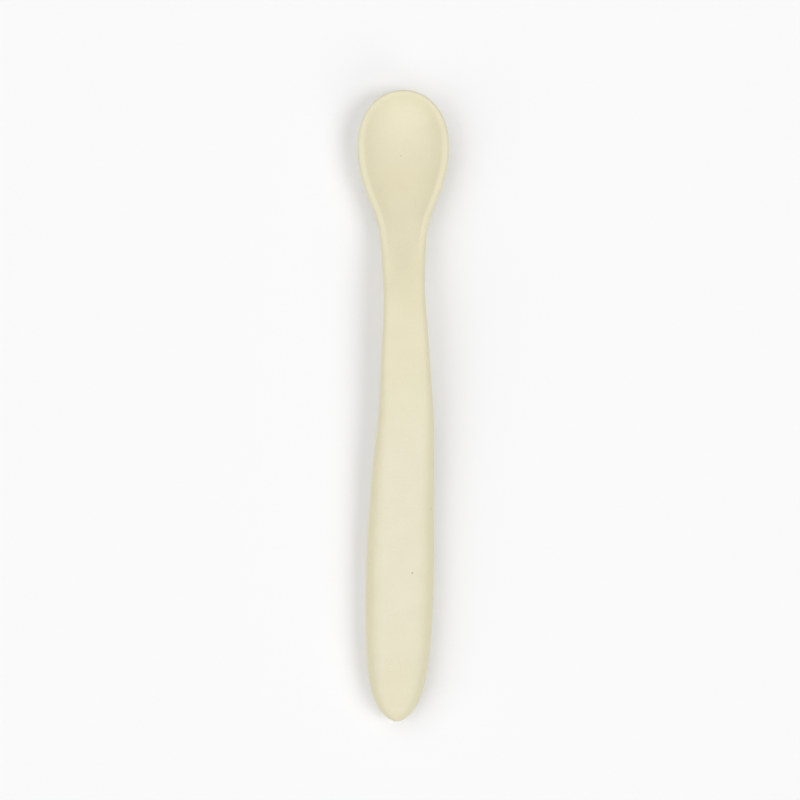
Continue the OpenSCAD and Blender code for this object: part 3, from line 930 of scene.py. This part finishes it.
class SPOON_OT_studio(bpy.types.Operator):
    """Set up the white floor, the soft light and the camera over the spoon"""

    bl_idname = "spoon.studio"
    bl_label = "Studio"

    def execute(self, context):
        studio = context.scene.spoon_studio
        add_floor(studio)
        add_dome(studio)
        for name, (turn, lift, spread) in SOFTBOXES.items():
            add_softbox(name + "_softbox", turn, lift, spread, getattr(studio, name + "_softbox"))
        add_camera(studio)
        context.scene.view_settings.view_transform = "Standard"
        return {"FINISHED"}


class SPOON_PT_panel(bpy.types.Panel):
    """The spoon's tools and sizes, in the sidebar"""

    bl_idname = "SPOON_PT_panel"
    bl_label = "Baby Spoon"
    bl_space_type = "VIEW_3D"
    bl_region_type = "UI"
    bl_category = "Spoon"

    def draw(self, context):
        column = self.layout.column()
        for operator in (SPOON_OT_body, SPOON_OT_core, SPOON_OT_studio):
            column.operator(operator.bl_idname)
        for settings in (context.scene.spoon_sizes, context.scene.spoon_finish, context.scene.spoon_studio):
            column.separator()
            for name in settings.__annotations__:
                column.prop(settings, name, text=name.replace("_", " ").capitalize())


def add_floor(studio):
    """A flat white floor under the spoon. The light that it throws back on the spoon is a little cooler
    than it looks, so that the spoon's sides don't turn their shadows yellow."""
    skin, corners = Skin(), np.array([[-1, -1, 0], [1, -1, 0], [1, 1, 0], [-1, 1, 0]])
    skin.face(*skin.add(corners * studio.floor_width / 2))
    floor = skin.piece("studio_floor")
    material = bpy.data.materials.new("White floor")
    material.use_nodes = True
    principled = material.node_tree.nodes["Principled BSDF"]
    tree = NodeTree(material.node_tree)
    thrown = tree.node("ShaderNodeLightPath").outputs["Is Diffuse Ray"]
    colours = (*studio.floor_colour, 1), (*studio.bounce_colour, 1)
    tree.feed(principled, "Base Color", tree.blend(thrown, *colours))
    principled.inputs["Roughness"].default_value = 1.0
    principled.inputs["Specular IOR Level"].default_value = 0.0
    floor.data.materials.append(material)


def add_dome(studio):
    """Even light from all round, which the camera and any mirror or glass see as the floor's own white."""
    world = bpy.data.worlds.new("White dome")
    world.use_nodes = True
    bpy.context.scene.world = world
    tree = NodeTree(world.node_tree)
    background = world.node_tree.nodes["Background"]
    seen = tree.node("ShaderNodeBackground", Color=(*studio.floor_colour, 1), Strength=1.0)
    background.inputs["Color"].default_value = (1, 1, 1, 1)
    background.inputs["Strength"].default_value = studio.dome
    rays = tree.node("ShaderNodeLightPath").outputs
    mirrored = tree.maths("MAXIMUM", rays["Is Glossy Ray"], rays["Is Transmission Ray"])
    mix = tree.node("ShaderNodeMixShader")
    tree.fill(mix.inputs, (tree.maths("MAXIMUM", rays["Is Camera Ray"], mirrored), background.outputs[0],
                           seen.outputs[0]))
    world.node_tree.links.new(mix.outputs[0], world.node_tree.nodes["World Output"].inputs["Surface"])


def add_softbox(name, turn, lift, spread, strength):
    """Soft light from one side: a far lamp that fills an angle of the sky, as a large softbox does. It
    shines down its own Z axis, which is tipped from straight up to its lift, and turned round from X."""
    lamp = bpy.data.lights.new(name, "SUN")
    lamp.energy, lamp.angle = strength, np.radians(spread)
    holder = bpy.data.objects.new(name, lamp)
    holder.rotation_euler = (0, np.radians(90 - lift), np.radians(turn))
    bpy.context.scene.collection.objects.link(holder)


def add_camera(studio):
    """A camera with a long lens, straight over the spoon, as in the photograph."""
    lens = bpy.data.cameras.new("Camera")
    lens.lens = lens.sensor_width * studio.camera_height / studio.view_width
    lens.clip_end = CAMERA_REACH
    camera = bpy.data.objects.new("Camera", lens)
    camera.location = (studio.camera_x, studio.camera_y, studio.camera_height)
    bpy.context.scene.collection.objects.link(camera)
    bpy.context.scene.camera = camera


CLASSES = (SpoonSizes, SpoonFinish, StudioSettings, SPOON_OT_body, SPOON_OT_core, SPOON_OT_studio,
           SPOON_PT_panel)


def register():
    """Adds the classes to Blender, and the three groups of settings to every scene."""
    for item in CLASSES:
        bpy.utils.register_class(item)
    bpy.types.Scene.spoon_sizes = bpy.props.PointerProperty(type=SpoonSizes)
    bpy.types.Scene.spoon_finish = bpy.props.PointerProperty(type=SpoonFinish)
    bpy.types.Scene.spoon_studio = bpy.props.PointerProperty(type=StudioSettings)


def unregister():
    """Takes them away again."""
    del bpy.types.Scene.spoon_sizes, bpy.types.Scene.spoon_finish, bpy.types.Scene.spoon_studio
    for item in reversed(CLASSES):
        bpy.utils.unregister_class(item)


def main():
    """Builds the spoon and its studio."""
    register()
    bpy.ops.spoon.body()
    bpy.ops.spoon.core()
    bpy.ops.spoon.studio()


if __name__ == "__main__":
    main()
